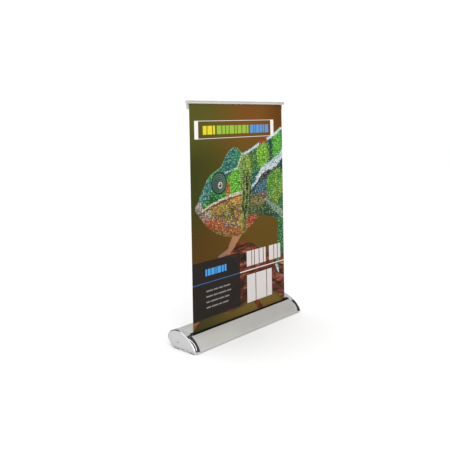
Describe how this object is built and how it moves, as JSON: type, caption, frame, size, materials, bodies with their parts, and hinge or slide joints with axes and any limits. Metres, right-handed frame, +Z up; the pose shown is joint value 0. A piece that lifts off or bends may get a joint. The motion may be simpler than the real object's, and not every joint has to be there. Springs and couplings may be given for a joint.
{
  "type": "roll-up banner stand",
  "caption": "Table-top roll-up banner stand with a spring roller in its cassette, a printed film, a top rail and a plug-in rear pole.",
  "frame": {"origin": "middle of the cassette's footprint, on the table", "axes": "+X along the cassette to the viewer's right when facing the print, -Y out of the printed front, +Z up the film"},
  "size_m": [0.337, 0.0806, 0.482],
  "materials": {
    "anodised_aluminium": "satin",
    "chrome": "polished",
    "grey_plate": "satin",
    "steel": "satin",
    "black_plastic": "matte",
    "rubber": "matte",
    "printed_film": "semi-matte print",
    "liner_film": "matte"
  },
  "bodies": {
    "cassette": {"casing": "anodised_aluminium", "end_cap_left": "chrome", "end_cap_right": "chrome", "cap_plate_left": "grey_plate", "cap_plate_right": "grey_plate", "cap_screw_left_front": "steel", "cap_screw_left_rear": "steel", "cap_screw_right_front": "steel", "cap_screw_right_rear": "steel", "foot_pad_left_front": "rubber", "foot_pad_left_rear": "rubber", "foot_pad_right_front": "rubber", "foot_pad_right_rear": "rubber", "spindle": "steel", "idler_pin": "steel", "retract_spring": "steel", "film_leader": "liner_film", "pole_socket": "black_plastic"},
    "roller": {"roller_tube": "anodised_aluminium", "roller_bush_left": "black_plastic", "roller_bush_right": "black_plastic", "spring_anchor": "black_plastic", "film_roll": "liner_film"},
    "rail": {"top_rail": "anodised_aluminium", "rail_cap_left": "grey_plate", "rail_cap_right": "grey_plate", "rail_bracket": "steel", "rail_tape": "liner_film", "banner_film": "printed_film"},
    "lower_pole": {"pole_lower": "anodised_aluminium", "pole_ferrule": "black_plastic"},
    "upper_pole": {"pole_upper": "anodised_aluminium", "pole_tip": "black_plastic", "pole_hook": "steel"}
  },
  "joints": [
    {"name": "rail_slide", "type": "slide", "parent": "cassette", "child": "rail", "axis": [0, 0, 1], "range_m": [-0.428, 0.012], "deforming": ["banner_film"]},
    {"name": "roller_spin", "type": "hinge", "parent": "cassette", "child": "roller", "pos_m": [0, 0.01, 0.014], "axis": [1, 0, 0], "continuous": true},
    {"name": "pole_lift", "type": "slide", "parent": "cassette", "child": "lower_pole", "axis": [0, 0, 1], "range_m": [0, 0.2]},
    {"name": "pole_top_pull", "type": "slide", "parent": "lower_pole", "child": "upper_pole", "axis": [0, 0, 1], "range_m": [0, 0.2]}
  ],
  "couplings": [
    {"joint": "roller_spin", "follows": "rail_slide", "rad_per_m": -108.7}
  ]
}
